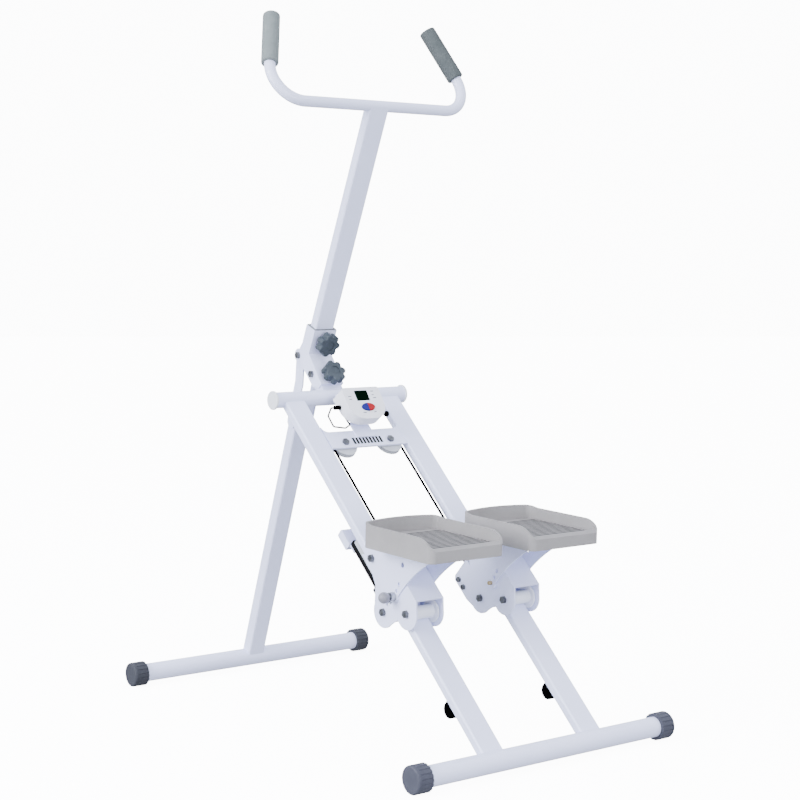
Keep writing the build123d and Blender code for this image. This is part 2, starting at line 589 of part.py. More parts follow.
def brake_bar(side):
    """The bar and the foot by which two bolts hold it to the inner plate."""
    x = side * rail_x
    bar = block((x - BRAKE_HALF, BAR_LOW_T, BAR_LOW_N), (x + BRAKE_HALF, BAR_HIGH_T, BAR_TOP_N))
    hanger = block((x - side_inner if side > 0 else x, BAR_LOW_T, HANGER_N),
                   (x if side > 0 else x + side_inner, 434, BAR_LOW_N))
    body = bar + hanger
    for place in BRACE_BOLTS:
        body -= cross_rod(x - side * side_inner, x - side * BRACE_BOLT_END, *place, BRACE_BOLT_D / 2)
    return on_rail(body)


def brake_box(x):
    shell = block((x - RAIL_WIDTH / 2, BAR_HIGH_T, BOX_LOW_N), (x + RAIL_WIDTH / 2, BOX_HIGH_T, BAR_LOW_N))
    shell = fillet(shell.edges().filter_by(Axis.X), 2.5)
    tongue = block((x - BRAKE_HALF, BAR_HIGH_T - 18, BAR_LOW_N - 4), (x + BRAKE_HALF, BAR_HIGH_T + 6, BAR_LOW_N))
    return on_rail(shell + tongue)


def guide_pads(x):
    """The pad under the rail and the nylon sleeve round the pedal bolt on top of it."""
    pad = block((x - BRAKE_HALF, PAD_LOW_T, BAR_TOP_N), (x + BRAKE_HALF, PAD_HIGH_T, -rail_face - APART))
    sleeve = cross_rod(x - ROLLER_HALF, x + ROLLER_HALF, *PEDAL_PIVOT, PEDAL_PIVOT[1] - rail_face - APART)
    sleeve -= cross_rod(x - ROLLER_HALF, x + ROLLER_HALF, *PEDAL_PIVOT, BOLT_D / 2)
    return on_rail(pad), on_rail(sleeve)


def cable_clamp(side):
    face = side * (rail_x - side_outer)
    low = min(face, face - side * 9)
    body = block((low, CLAMP_LOW, cable_n - 8), (low + 9, CLAMP_HIGH, cable_n + 12))
    body -= rod((side * cable_x, CLAMP_LOW + 4, cable_n), (side * cable_x, CLAMP_HIGH, cable_n), CABLE_D / 2)
    screw = rod((face - side * 9, 475, cable_n + 7.5), (face - side * 12, 475, cable_n + 7.5), 3.5)
    return on_rail(body + screw)


# Pedal bracket: a top plate under the tray and two wings outside the carriage, on the pedal bolt.
WING_GAP = 0.4
wing_inner = side_outer + WING_GAP
wing_outer = wing_inner + SHEET
PEDAL_TILT = 1.8                # heel down
WING_PIN_LUG_R = 12.0
WING_HEEL = 150.0
WING_TOE = 4.0
WING_HOLLOW = 8.0               # how far the lower edge bows inwards
pivot_y, pivot_z = rail_point(*PEDAL_PIVOT)
tray_toe = (pivot_y - 39.3, pivot_z + 30.29)
pin_y, pin_z = rail_point(*PIN_PLACE)
pin_bearing = degrees(atan2(pin_z - pivot_z, pin_y - pivot_y))
tray_plane = turned(*tray_toe, PEDAL_TILT)


def under_tray(along, down):
    """Side-view place measured from the tray's toe edge: towards the heel, and below its bottom."""
    return offset_point(tray_toe, -along, -down, PEDAL_TILT)


wing = make_hull((disc(pivot_y, pivot_z, 18) + disc(*under_tray(WING_TOE, 4), 3.5)
                  + disc(pin_y, pin_z, WING_PIN_LUG_R)).edges())
wing_heel = under_tray(WING_HEEL, 4)
wing_foot = (pin_y - 7, pin_z - 4)
edge_middle = ((wing_heel[0] + wing_foot[0]) / 2, (wing_heel[1] + wing_foot[1]) / 2)
edge_bearing = degrees(atan2(wing_foot[1] - wing_heel[1], wing_foot[0] - wing_heel[0]))
edge_arc = ThreePointArc(wing_heel, offset_point(edge_middle, 0, WING_HOLLOW, edge_bearing), wing_foot)
wing += make_face(edge_arc + Polyline(wing_foot, (pivot_y, pivot_z), under_tray(0, 0), under_tray(WING_HEEL, 0),
                                      wing_heel))
wing -= disc(pivot_y, pivot_z, BOLT_D / 2 + RUNNING)
for step in range(3):
    bearing = radians(pin_bearing - HOLE_STEP * step)
    wing -= disc(pivot_y + HOLE_R * cos(bearing), pivot_z + HOLE_R * sin(bearing), PIN_D / 2 + RUNNING)
wing -= disc(pivot_y - 93, pivot_z - 1, 5)


def pedal_bracket(side):
    x = side * rail_x
    plate = polygon(under_tray(0, 0), under_tray(WING_HEEL, 0), under_tray(WING_HEEL, SHEET), under_tray(0, SHEET))
    body = slab(plate, x - wing_outer, x + wing_outer)
    for face in (-1, 1):
        body += slab(wing, x + face * wing_inner, x + face * wing_outer)
    return body


# Pedal tray: a moulded platform with a raised toe wall and side walls that fall to the heel.
RIM_HEIGHT = 43.0
FLOOR_TOP = 20.0
TRAY_WALL = 4.0
HEEL_HEIGHT = 27.0
HEEL_FALL = 40.0                # length over which the side walls fall to the heel
HEEL_ROUND = 45.0
TOE_BULGE = 12.0
TOE_RISE = 6.0
TOE_CORNER = 16.0
HEEL_CORNER = 14.0
RIB_PITCH = 10.0
RIB_WIDTH = 5.0
RIB_START = 20.0                # from the toe
RIB_END = 20.0                  # from the heel
RIB_MARGIN = 9.0                # from each side
BOSS_R = 7.0
BOSSES = ((-24.0, -30.0), (24.0, -30.0), (-24.0, -120.0), (24.0, -120.0))   # the tray stands on these


def tray_blank(half, inset):
    """Plan view of the tray: straight sides, a flat heel and a toe wall that bows outwards."""
    toe = ThreePointArc((-half, -inset), (0, TOE_BULGE - inset), (half, -inset))
    sides = Polyline((half, -inset), (half, -PEDAL_LENGTH + inset), (-half, -PEDAL_LENGTH + inset), (-half, -inset))
    outline = make_face(toe + sides)
    outline = fillet(outline.vertices().sort_by(Axis.Y)[-2:], TOE_CORNER - inset)
    return fillet(outline.vertices().sort_by(Axis.Y)[:2], HEEL_CORNER - inset)


def pedal(side):
    x = side * rail_x
    half = PEDAL_WIDTH / 2
    outer = extrude(tray_blank(half, 0), RIM_HEIGHT + TOE_RISE)
    well = extrude(Plane.XY.offset(FLOOR_TOP) * tray_blank(half - TRAY_WALL, TRAY_WALL), 60)
    under = extrude(tray_blank(half - TRAY_WALL, TRAY_WALL), FLOOR_TOP - 4)
    fall = -PEDAL_LENGTH + HEEL_FALL
    rim_top = polygon((20, 60), (20, RIM_HEIGHT + TOE_RISE), (-2, RIM_HEIGHT + 3), (-24, RIM_HEIGHT),
                      (fall, RIM_HEIGHT), (fall, 60))
    heel_corner = polygon((fall, 60), (fall, RIM_HEIGHT - HEEL_ROUND), (-PEDAL_LENGTH - 1, RIM_HEIGHT - HEEL_ROUND),
                          (-PEDAL_LENGTH - 1, 60))
    rim_top += heel_corner - disc(fall, RIM_HEIGHT - HEEL_ROUND, HEEL_ROUND)
    body = outer - well - under - slab(rim_top, -half - 1, half + 1)
    heel_lip = slab(polygon((-PEDAL_LENGTH, 0), (-PEDAL_LENGTH, HEEL_HEIGHT - 6), (-PEDAL_LENGTH + 5, HEEL_HEIGHT),
                            (-PEDAL_LENGTH + 9, HEEL_HEIGHT - 1), (-PEDAL_LENGTH + 20, FLOOR_TOP),
                            (-PEDAL_LENGTH + 20, FLOOR_TOP - 5), (-PEDAL_LENGTH + TRAY_WALL, FLOOR_TOP - 5),
                            (-PEDAL_LENGTH + TRAY_WALL, 0)),
                    -half, half)
    body += heel_lip & outer
    for boss_x, boss_y in BOSSES:
        body += Pos(boss_x, boss_y, FLOOR_TOP / 2 - 1) * Cylinder(BOSS_R, FLOOR_TOP - 2)
    rib_count = int((PEDAL_LENGTH - RIB_START - RIB_END) / RIB_PITCH)
    for rib in range(rib_count):
        y = -RIB_START - rib * RIB_PITCH
        body += block((-half + RIB_MARGIN, y - RIB_WIDTH, FLOOR_TOP - 1), (half - RIB_MARGIN, y, FLOOR_TOP + 1.5))
    return tray_plane * (Pos(x, 0, 0) * body)


# Lock pin with a collar and ball knob; it slides out sideways to free the pedal's tilt.
COLLAR_R = 8.5
COLLAR_LENGTH = 10.0
BALL_R = 10.7
BALL_OUT = 22.0
PIN_NOSE = 0.5              # inside the slotted plate
PIN_IN_BALL = 14.0


def lock_pin(side):
    x = side * rail_x
    seat = x + side * (wing_outer + APART)
    tip = x + side * (side_inner - PIN_NOSE)
    body = cross_rod(tip, seat + side * PIN_IN_BALL, *PIN_PLACE, PIN_D / 2)
    body += cross_rod(seat, seat + side * COLLAR_LENGTH, *PIN_PLACE, COLLAR_R)
    return on_rail(body)


def pin_knob(side):
    x = side * rail_x
    seat = x + side * (wing_outer + APART)
    ball = Pos(x + side * (wing_outer + BALL_OUT), *PIN_PLACE) * Rot(0, 90, 0) * Sphere(BALL_R)
    return on_rail(ball - cross_rod(seat, seat + side * PIN_IN_BALL, *PIN_PLACE, PIN_D / 2))


for label, side in (("left", -1), ("right", 1)):
    x = side * rail_x
    save(f"{label}_carriage", carriage(side))
    bolts = [axle(x, FRONT_ROLLER, side_outer), axle(x, REAR_ROLLER, side_outer),
             axle(x, PEDAL_PIVOT, wing_outer + WING_GAP)]
    bolts += [brace_bolt(side, place) for place in BRACE_BOLTS]
    save(f"{label}_carriage_bolts", *[on_rail(bolt) for bolt in bolts])
    save(f"{label}_front_roller", front_roller(x))
    save(f"{label}_rear_roller", rear_roller(x))
    save(f"{label}_brake_bar", brake_bar(side))
    save(f"{label}_brake_box", brake_box(x))
    save(f"{label}_guide_pads", *guide_pads(x))
    save(f"{label}_cable_clamp", cable_clamp(side))
    save(f"{label}_pedal_bracket", pedal_bracket(side))
    save(f"{label}_pedal", pedal(side))
    save(f"{label}_lock_pin", lock_pin(side))
    save(f"{label}_pin_knob", pin_knob(side))

# Console: a wedge-shaped box on a bent strap between the cross tube and the cross plate.
CONSOLE_T = RAIL_LENGTH - 72    # middle of its face, up the rail
CONSOLE_N = 59.5
FACE_TILT = 11.7                # steeper than the rails
CONSOLE_HALF_WIDTH = 45.0
CONSOLE_HALF_LENGTH = 36.5
CONSOLE_BACK_N = 28.0
CASE_WALL = 2.2


def console_plan(half_width, half_length, low_round, high_round):
    """Plan view of the console: rounded, with much larger rounds at its lower end."""
    outline = Rectangle(2 * half_width, 2 * half_length)
    corners = outline.vertices().sort_by(Axis.Y)
    outline = fillet(corners[:2], low_round)
    return fillet(outline.vertices().sort_by(Axis.Y)[-2:], high_round)


face_location = rail_plane.location * turned(CONSOLE_T, CONSOLE_N, FACE_TILT).location
DEEP = 60.0
outer_form = face_location * extrude(console_plan(CONSOLE_HALF_WIDTH, CONSOLE_HALF_LENGTH, 34, 6), -DEEP)
inner_form = face_location * (Pos(0, 0, -CASE_WALL) * extrude(
    console_plan(CONSOLE_HALF_WIDTH - CASE_WALL, CONSOLE_HALF_LENGTH - CASE_WALL, 34 - CASE_WALL, 4), -DEEP))
above_back = on_rail(block((-90, CONSOLE_T - 100, CONSOLE_BACK_N + SHEET), (90, CONSOLE_T + 100, 140)))
LCD_AT, LCD_SIZE = (-2.0, 17.0), (32.0, 24.0)
BUTTON_AT, BUTTON_RX, BUTTON_RY = (2.0, -10.5), 16.0, 9.0
BUTTON_GAP = 0.3
BUTTON_PROUD = 3.0
lcd_opening = Pos(*LCD_AT) * Rectangle(*LCD_SIZE)
button_opening = Pos(*BUTTON_AT) * Ellipse(BUTTON_RX, BUTTON_RY)
openings = face_location * (Pos(0, 0, -CASE_WALL - 1) * extrude(lcd_opening + button_opening, CASE_WALL + 2))
case = (outer_form & above_back) - inner_form - openings
JACK_T, JACK_N, JACK_R = RAIL_LENGTH - 60, 35.5, 4.5
jack_face = -CONSOLE_HALF_WIDTH
jack_hole = on_rail(cross_rod(jack_face - 5, jack_face + 8, JACK_T, JACK_N, JACK_R - 1.5))
save("console_case", largest(case - jack_hole))

back_low = on_rail(block((-90, CONSOLE_T - 100, CONSOLE_BACK_N), (90, CONSOLE_T + 100, CONSOLE_BACK_N + SHEET)))
save("console_back", largest(outer_form & back_low))
lens = Pos(*LCD_AT) * Rectangle(LCD_SIZE[0] - 0.2, LCD_SIZE[1] - 0.2)
save("console_lens", face_location * (Pos(0, 0, -CASE_WALL) * extrude(lens, CASE_WALL - 0.6)))

split = {"left": -1, "right": 1}
for label, side in split.items():
    oval = Pos(*BUTTON_AT) * Ellipse(BUTTON_RX - BUTTON_GAP, BUTTON_RY - BUTTON_GAP)
    half_plane = Pos(BUTTON_AT[0] + side * (BUTTON_RX / 2 + BUTTON_GAP / 2), BUTTON_AT[1])
    half_oval = oval & (half_plane * Rectangle(BUTTON_RX, 4 * BUTTON_RY))
    cap = extrude(half_oval, CASE_WALL + 2 + BUTTON_PROUD)
    cap = chamfer(cap.faces().sort_by(Axis.Z)[-1].edges(), 0.8)
    save(f"{label}_button", face_location * (Pos(0, 0, -CASE_WALL - 2) * cap))

# Jack plug in the console's left side, and the lead that loops back under the console.
JACK_OUT = 14.0
LEAD_D = 3.5
LEAD_SEAT = 3.0                 # length of lead inside the grommet
GROMMET_T, GROMMET_N = RAIL_LENGTH - 55, 2.0
GROMMET_R = 5.8
GROMMET_PROUD = 8.0
plug_end = (jack_face - JACK_OUT, JACK_T, JACK_N)
plug = rod((jack_face - 0.2, JACK_T, JACK_N), plug_end, JACK_R)
plug += rod((jack_face + 6, JACK_T, JACK_N), (jack_face - 0.2, JACK_T, JACK_N), JACK_R - 1.5)
save("console_jack", on_rail(plug))
grommet_face = plate_half - GROMMET_PROUD
lead_points = [plug_end, (plug_end[0] - 8, JACK_T, JACK_N), (-78, JACK_T - 14, 28), (-74, JACK_T - 38, 22),
               (-46, JACK_T - 42, 20), (-31, JACK_T - 34, 20), (-31, JACK_T - 8, 18), (-12, JACK_T + 5, 16),
               (36, JACK_T + 9, 10), (62, GROMMET_T, GROMMET_N), (grommet_face + LEAD_SEAT, GROMMET_T, GROMMET_N)]
lead_path = FilletPolyline(*lead_points, radius=5)
lead_start = Plane(origin=lead_path @ 0, z_dir=lead_path % 0)
save("console_lead", on_rail(sweep(lead_start * Circle(LEAD_D / 2), lead_path)))
grommet = cross_rod(grommet_face, plate_half, GROMMET_T, GROMMET_N, GROMMET_R)
grommet = fillet(grommet.edges().filter_by(GeomType.CIRCLE).sort_by(Axis.X)[0], 3.5)
grommet -= cross_rod(grommet_face - 1, grommet_face + LEAD_SEAT, GROMMET_T, GROMMET_N, LEAD_D / 2)
save("lead_grommet", on_rail(grommet))

# Strap that carries the console: a foot on the cross plate, a riser, and a pad under the console.
STRAP_HALF = 22.0
STRAP_LOW_T = RAIL_LENGTH - 120
RISER_T = RAIL_LENGTH - 82
strap_line = polygon((STRAP_LOW_T, rail_face), (RISER_T, rail_face), (RISER_T, CONSOLE_BACK_N - SHEET),
                     (RISER_T + 56, CONSOLE_BACK_N - SHEET), (RISER_T + 72, 15), (RISER_T + 74, 18),
                     (RISER_T + 58, CONSOLE_BACK_N), (RISER_T - SHEET, CONSOLE_BACK_N),
                     (RISER_T - SHEET, rail_face + SHEET), (STRAP_LOW_T, rail_face + SHEET))
strap = on_rail(slab(strap_line, -STRAP_HALF, STRAP_HALF))
strap -= cross_rod(-STRAP_HALF, STRAP_HALF, top_y, top_z, CROSS_TUBE_D / 2)
save("console_bracket", largest(strap))
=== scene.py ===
import bpy
from math import cos, radians, sin
from mathutils import Matrix, Vector


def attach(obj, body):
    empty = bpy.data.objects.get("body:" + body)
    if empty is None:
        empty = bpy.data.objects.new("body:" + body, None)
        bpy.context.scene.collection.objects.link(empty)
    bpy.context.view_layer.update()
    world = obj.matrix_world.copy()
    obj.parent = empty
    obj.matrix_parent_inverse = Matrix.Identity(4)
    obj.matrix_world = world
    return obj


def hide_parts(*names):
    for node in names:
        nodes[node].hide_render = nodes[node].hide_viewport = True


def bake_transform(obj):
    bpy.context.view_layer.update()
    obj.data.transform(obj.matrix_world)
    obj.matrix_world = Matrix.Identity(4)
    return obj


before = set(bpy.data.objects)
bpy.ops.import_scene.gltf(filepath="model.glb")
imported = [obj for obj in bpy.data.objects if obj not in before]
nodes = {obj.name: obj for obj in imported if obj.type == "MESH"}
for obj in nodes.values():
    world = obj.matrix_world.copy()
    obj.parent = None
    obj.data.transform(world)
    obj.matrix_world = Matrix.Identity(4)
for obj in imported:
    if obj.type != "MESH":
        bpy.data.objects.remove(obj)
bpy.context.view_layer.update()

# Camera: a long lens low on the machine's front left, as far off as a studio allows.
view_down, view_turn = radians(85.786), radians(-37.259)
bpy.ops.object.camera_add(location=(-2.0706, -2.7793, 0.8804), rotation=(view_down, 0, view_turn))
camera = bpy.context.active_object
camera.name = "camera"
camera.data.sensor_width = 36
camera.data.lens = 78.96
camera.data.clip_end = 60
bpy.context.scene.camera = camera

# Shading sums: a small wrapper round a node's output, so that the sky and each finish below read as
# arithmetic on their inputs.


class Signal:
    """One output of a shader node, whose sums and products are shader nodes too."""

    def __init__(self, socket):
        self.socket = socket
        self.tree = socket.id_data

    def through(self, kind, entry, leaving, **settings):
        """Lead this signal into a new node and return the output named."""
        made = self.tree.nodes.new(kind)
        for key, value in settings.items():
            made.inputs[key].default_value = value
        self.tree.links.new(self.socket, made.inputs[entry])
        return Signal(made.outputs[leaving])

    def sum_of(self, operation, other):
        made = self.tree.nodes.new("ShaderNodeMath")
        made.operation = operation
        self.tree.links.new(self.socket, made.inputs[0])
        if isinstance(other, Signal):
            self.tree.links.new(other.socket, made.inputs[1])
        else:
            made.inputs[1].default_value = other
        return Signal(made.outputs[0])

    def __add__(self, other):
        return self.sum_of("ADD", other)

    def __sub__(self, other):
        return self.sum_of("SUBTRACT", other)

    def __mul__(self, other):
        return self.sum_of("MULTIPLY", other)

    __radd__, __rmul__ = __add__, __mul__

    def clipped(self, low, high):
        """0 below low, 1 above high, and a straight ramp between."""
        made = self.tree.nodes.new("ShaderNodeMapRange")
        made.inputs["From Min"].default_value = low
        made.inputs["From Max"].default_value = high
        self.tree.links.new(self.socket, made.inputs["Value"])
        return Signal(made.outputs["Result"])

    def between(self, low, high):
        """The colour low where this signal is 0 and high where it is 1."""
        made = self.tree.nodes.new("ShaderNodeMix")
        made.data_type = "RGBA"
        made.inputs["A"].default_value = (*low, 1)
        made.inputs["B"].default_value = (*high, 1)
        self.tree.links.new(self.socket, made.inputs["Factor"])
        return Signal(made.outputs["Result"])

    def into(self, socket):
        self.tree.links.new(self.socket, socket)


# Studio: a seamless white room. The world gives a soft light, stronger from above than from below; a
# large soft panel on the machine's left models the tubes, and a weaker one opens the shadow side.
world = bpy.data.worlds.new("studio")
bpy.context.scene.world = world
world.use_nodes = True
sky = world.node_tree.nodes
sky_low, sky_high = 0.95, 2.65
heading = Signal(sky.new("ShaderNodeTexCoord").outputs["Generated"])
height = heading.through("ShaderNodeSeparateXYZ", "Vector", "Z").clipped(-0.35, 0.6)
(sky_low + (sky_high - sky_low) * height).into(sky["Background"].inputs["Strength"])
sky["Background"].inputs["Color"].default_value = (0.83, 0.885, 1.0, 1)


def soft_panel(name, place, aim, size, power, colour):
    bpy.ops.object.light_add(type="AREA", location=place)
    panel = bpy.context.active_object
    panel.name = name
    panel.rotation_euler = (Vector(aim) - Vector(place)).to_track_quat("-Z", "Y").to_euler()
    panel.data.shape = "SQUARE"
    panel.data.size = size
    panel.data.energy = power
    panel.data.color = colour


soft_panel("key_panel", (-4.4, 0.2, 2.0), (0, -0.1, 0.55), 2.4, 400, (0.88, 0.92, 1.0))
soft_panel("fill_panel", (-0.9, -4.6, 0.9), (0, 0, 0.95), 2.0, 135, (0.86, 0.91, 1.0))

# Floor and back wall: white paper lit from behind, so that both burn out to a clean white and the
# feet keep only a faint contact shade. They light nothing themselves.
paper = bpy.data.materials.new("studio_paper")
paper.use_nodes = True
sheet = paper.node_tree.nodes["Principled BSDF"]
sheet.inputs["Base Color"].default_value = (0.97, 0.97, 0.97, 1)
sheet.inputs["Roughness"].default_value = 0.95
sheet.inputs["Specular IOR Level"].default_value = 0.0
sheet.inputs["Emission Color"].default_value = (1.0, 1.0, 1.0, 1)
sheet.inputs["Emission Strength"].default_value = 11.0
bpy.ops.mesh.primitive_plane_add(size=60, location=(0, 0, 0))
floor = bpy.context.active_object
floor.name = "studio_floor"
bpy.ops.mesh.primitive_plane_add(size=60, location=(12.1, 15.9, 0), rotation=(radians(90), 0, view_turn))
wall = bpy.context.active_object
wall.name = "studio_wall"
for paper_sheet in (floor, wall):
    paper_sheet.data.materials.append(paper)
    paper_sheet.visible_diffuse = False
    paper_sheet.visible_glossy = False

# Powder-coated steel: every tube and plate of the frame, the leg, the handlebar and the steps. White
# paint with a cool tint, a faint orange peel and slightly uneven gloss, baked on after welding.


def finish(name, low, high, rough, spread, grain, relief, metallic=0.0, coat=0.0, blotch=7.0, shine=0.5):
    """A surface whose colour and gloss drift over blotches and whose fine grain is a bump."""
    made = bpy.data.materials.new(name)
    made.use_nodes = True
    surface = made.node_tree.nodes["Principled BSDF"]
    place = Signal(made.node_tree.nodes.new("ShaderNodeTexCoord").outputs["Object"])
    drift = place.through("ShaderNodeTexNoise", "Vector", "Fac", Scale=blotch, Detail=5.0, Roughness=0.6)
    fine = place.through("ShaderNodeTexNoise", "Vector", "Fac", Scale=grain, Detail=3.0, Roughness=0.55)
    worn = drift.clipped(0.3, 0.7)
    worn.between(low, high).into(surface.inputs["Base Color"])
    (rough + spread * (worn - 0.5) + 0.06 * (fine - 0.5)).into(surface.inputs["Roughness"])
    bump = fine.through("ShaderNodeBump", "Height", "Normal", Strength=relief, Distance=0.0006)
    bump.into(surface.inputs["Normal"])
    surface.inputs["Metallic"].default_value = metallic
    surface.inputs["Coat Weight"].default_value = coat
    surface.inputs["Specular IOR Level"].default_value = shine
    return made


def dress(material, *names):
    for name in names:
        nodes[name].data.materials.clear()
        nodes[name].data.materials.append(material)


powder = finish("white_powder_coat", (0.72, 0.74, 0.96), (0.76, 0.78, 1.0), 0.36, 0.08, 900, 0.12,
                coat=0.15)
dress(powder, "front_foot_tube", "rear_foot_tube", "left_rail", "right_rail", "top_cross_tube",
      "cross_plate", "neck_bracket", "console_bracket", "rear_leg", "leg_ears", "upright_bracket",
      "handlebar_post", "handlebar_tube", "left_carriage", "right_carriage", "left_pedal_bracket",
      "right_pedal_bracket", "left_brake_box", "right_brake_box")

# Foot caps, star knobs and pin balls: moulded slate-grey plastic with a fine spark-eroded texture and
# faint paler scuffs. The rear caps are a darker copy of it, painted shade, and the balls lighter and
# smoother.
slate = finish("slate_plastic", (0.044, 0.045, 0.063), (0.06, 0.062, 0.082), 0.6, 0.14, 1500, 0.35,
               blotch=22, shine=0.3)
dress(slate, "front_foot_caps")
# Rear caps: the same slate plastic darkened, painted shade.
rear_cap_shaded_slate = finish("rear_cap_painted_shade", (0.026, 0.027, 0.036), (0.037, 0.039, 0.048), 0.6, 0.14, 1500,
                    0.35, blotch=22, shine=0.3)
dress(rear_cap_shaded_slate, "rear_foot_caps")
knob_plastic = finish("knob_plastic", (0.03, 0.04, 0.049), (0.044, 0.055, 0.067), 0.5, 0.1, 1700, 0.3,
                      blotch=40, shine=0.3)
dress(knob_plastic, "post_knob", "fold_knob")
ball_plastic = finish("ball_plastic", (0.195, 0.19, 0.225), (0.235, 0.23, 0.265), 0.35, 0.1, 1300, 0.1,
                      blotch=60)
dress(ball_plastic, "left_pin_knob", "right_pin_knob")

# Plugs of the cross tube: white moulded plastic, smoother than paint. The bush pressed into the
# post's sleeve is dark grey, and its lip shows as a thin line round the post.
plug_plastic = finish("white_plastic", (0.74, 0.75, 0.79), (0.79, 0.8, 0.83), 0.3, 0.06, 700, 0.05)
dress(plug_plastic, "cross_tube_caps")
bush_plastic = finish("bush_plastic", (0.1, 0.105, 0.12), (0.14, 0.145, 0.16), 0.5, 0.06, 700, 0.05)
dress(bush_plastic, "post_bush")

# Stops, cable, lead, plug and grommet: black rubber and black jacket, matt and barely reflecting. The
# friction units and the cable clamps are black plastic with a little more sheen.
rubber = finish("black_rubber", (0.0004, 0.0004, 0.0005), (0.0012, 0.0012, 0.0014), 0.8, 0.15, 1200,
                0.3, blotch=30, shine=0.0)
dress(rubber, "lower_stops", "console_lead", "lead_grommet", "cable_bridge", "console_jack")
black_plastic = finish("black_plastic", (0.0012, 0.0012, 0.0014), (0.003, 0.003, 0.0034), 0.55, 0.15,
                       1500, 0.2, shine=0.08)
dress(black_plastic, "left_brake_bar", "right_brake_bar", "left_cable_clamp", "right_cable_clamp")

# Rollers, pads and pulleys: turned and moulded nylon, off-white and light grey.
nylon = finish("roller_nylon", (0.78, 0.79, 0.87), (0.82, 0.83, 0.91), 0.38, 0.12, 800, 0.08, blotch=35)
dress(nylon, "left_front_roller", "right_front_roller", "left_rear_roller", "right_rear_roller")
pad_nylon = finish("pad_nylon", (0.42, 0.43, 0.46), (0.5, 0.51, 0.54), 0.5, 0.15, 800, 0.12, blotch=35)
dress(pad_nylon, "left_guide_pads", "right_guide_pads", "left_pulley", "right_pulley")

# Bolts, nuts and lock pins: zinc-plated steel with patches of brighter plating. The bolts and nuts
# are darker and duller than the pins.
zinc = finish("zinc_plate", (0.3, 0.31, 0.33), (0.52, 0.53, 0.56), 0.32, 0.2, 1100, 0.12, metallic=1.0,
              blotch=90)
dress(zinc, "left_lock_pin", "right_lock_pin")
dull_zinc = finish("dull_zinc", (0.06, 0.062, 0.066), (0.2, 0.205, 0.215), 0.4, 0.2, 1100, 0.15,
                   metallic=1.0, blotch=130)
dress(dull_zinc, "pulley_bolts", "hinge_bolts", "left_carriage_bolts", "right_carriage_bolts")

# Pedals: mid-grey moulded plastic, evenly grained. The slots between the ribs get a dark sheet of
# painted shade of their own, further down.
pedal_plastic = finish("pedal_plastic", (0.245, 0.23, 0.225), (0.285, 0.268, 0.262), 0.55, 0.12, 1400,
                       0.3, blotch=16, shine=0.35)
dress(pedal_plastic, "left_pedal", "right_pedal")

# Console: white moulded case, a dark window, and a button split into a blue and a red half.
case_plastic = finish("case_plastic", (0.8, 0.79, 0.83), (0.84, 0.83, 0.87), 0.33, 0.08, 1500, 0.12,
                      blotch=30)
dress(case_plastic, "console_case", "console_back")
window = finish("display_window", (0.0002, 0.0035, 0.0015), (0.0004, 0.005, 0.0022), 0.4, 0.05, 300,
                0.01, shine=0.0)
dress(window, "console_lens")
blue = finish("blue_button", (0.004, 0.004, 0.14), (0.008, 0.009, 0.19), 0.35, 0.08, 900, 0.06, shine=0.2)
dress(blue, "left_button")
red = finish("red_button", (0.3, 0.002, 0.006), (0.38, 0.004, 0.01), 0.35, 0.08, 900, 0.06, shine=0.2)
dress(red, "right_button")


def wake(piece, name, material):
    """Name a new piece and give it its material, with its size and turn applied to the mesh."""
    piece.name = name
    piece.data.name = name
    bpy.ops.object.select_all(action="DESELECT")
    piece.select_set(True)
    bpy.context.view_layer.objects.active = piece
    bpy.ops.object.transform_apply(location=True, rotation=True, scale=True)
    piece.data.materials.clear()
    piece.data.materials.append(material)
    return piece


# Foam grips: soft grey sleeves pushed over the bar's ends, closed and rounded at the top, with the
# torn-cell grain of closed-cell foam. The right one is a darker copy of the same foam, painted shade.
foam = finish("foam_grey", (0.155, 0.175, 0.172), (0.19, 0.21, 0.207), 0.85, 0.12, 900, 0.8, blotch=45,
              shine=0.2)
# Right grip's foam: the left one's colours darkened, painted shade.
shaded_foam = finish("foam_grey_painted_shade", (0.07, 0.08, 0.08), (0.095, 0.105, 0.105), 0.85, 0.12, 900, 0.8,
                   blotch=45, shine=0.15)
bar_tilt = radians(63.3)
bar_slope = Vector((0, cos(bar_tilt), sin(bar_tilt)))
bar_middle = Vector((0, 0.017188, 1.202866))
bar_corner_across = 0.2535
bar_end_across, bar_end_up = 0.1915, 0.1858
grip_radius = 0.0169
grip_length = 0.117
grip_overhang = 0.0039
grip_round = 0.0032
for side, label, grip_foam in ((-1, "left", foam), (1, "right", shaded_foam)):
    across = Vector((side, 0, 0))
    bar_end = bar_middle + across * bar_end_across + bar_slope * bar_end_up
    upward = (bar_end - bar_middle - across * bar_corner_across).normalized()
    middle = bar_end + upward * (grip_overhang - grip_length / 2)
    bpy.ops.mesh.primitive_cylinder_add(vertices=48, radius=grip_radius, depth=grip_length, location=middle)
    grip = bpy.context.active_object
    bpy.ops.object.modifier_add(type="BEVEL")
    grip.modifiers[-1].width = grip_round
    grip.modifiers[-1].segments = 5
    bpy.ops.object.modifier_apply(modifier=grip.modifiers[-1].name)
    grip.rotation_euler = upward.to_track_quat("Z", "Y").to_euler()
    wake(grip, f"{label}_foam_grip", grip_foam)
    bpy.ops.object.shade_smooth_by_angle(angle=radians(50))
    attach(grip, "handlebar")
    if side == -1:
        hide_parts("handlebar_grips")

# Drive cable beside each rail: a straight black-jacketed wire from the pulley to its step's clamp.
cable_radius = 0.0025
cable_across = 0.0815
clamp_t, pulley_t, cable_n = 0.470, 0.742, -0.001
rail_tilt = radians(43.2)
rail_up = Vector((0, cos(rail_tilt), sin(rail_tilt)))
rail_out = Vector((0, -sin(rail_tilt), cos(rail_tilt)))
rail_foot = Vector((0, -0.486, 0.0255))


def rail_spot(x, t, n):
    """A point across, up the rails and out of their face, in metres."""
    return rail_foot + Vector((x, 0, 0)) + rail_up * t + rail_out * n


